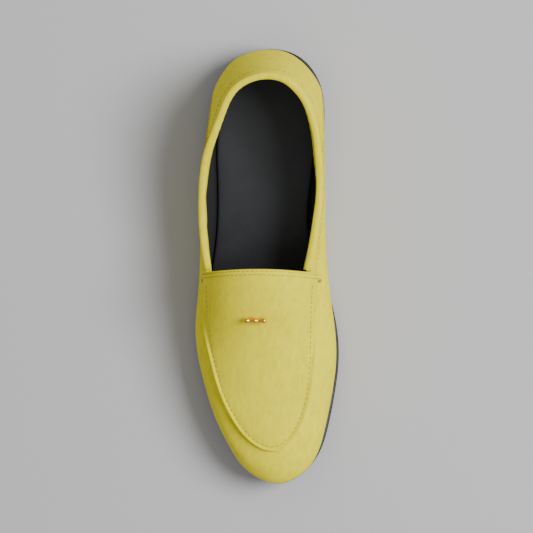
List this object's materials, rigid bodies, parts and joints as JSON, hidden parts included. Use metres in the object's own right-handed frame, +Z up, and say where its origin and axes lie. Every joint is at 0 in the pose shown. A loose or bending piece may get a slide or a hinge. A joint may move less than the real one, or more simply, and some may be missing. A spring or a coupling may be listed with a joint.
{
  "type": "loafer",
  "caption": "Right foot suede loafer with a rolled apron seam, a flat black-edged leather sole, a low heel and a small gold bar on the vamp.",
  "frame": {"origin": "middle of the bounding box, on the floor the heel and the ball of the sole stand on", "axes": "+Y towards the back of the heel, the toe towards -Y; +X towards the medial side (the big toe's side); +Z up"},
  "size_m": [0.086, 0.2619, 0.0788],
  "materials": {
    "suede": "yellow suede, soft nap",
    "suede_edge": "yellow suede, rolled edge",
    "insole_leather": "black smooth leather, slight sheen",
    "sole_leather": "black painted and polished edge",
    "heel_leather": "black painted stacked leather",
    "lift_rubber": "black, fine matt",
    "gold": "polished gold plating"
  },
  "bodies": {
    "root": {"upper": "suede", "heel_panel": "suede", "apron": "suede", "collar_roll": "suede_edge", "insole": "insole_leather", "outsole": "sole_leather", "heel_block": "heel_leather", "heel_top_lift": "lift_rubber", "ornament_bar": "gold"}
  },
  "joints": []
}
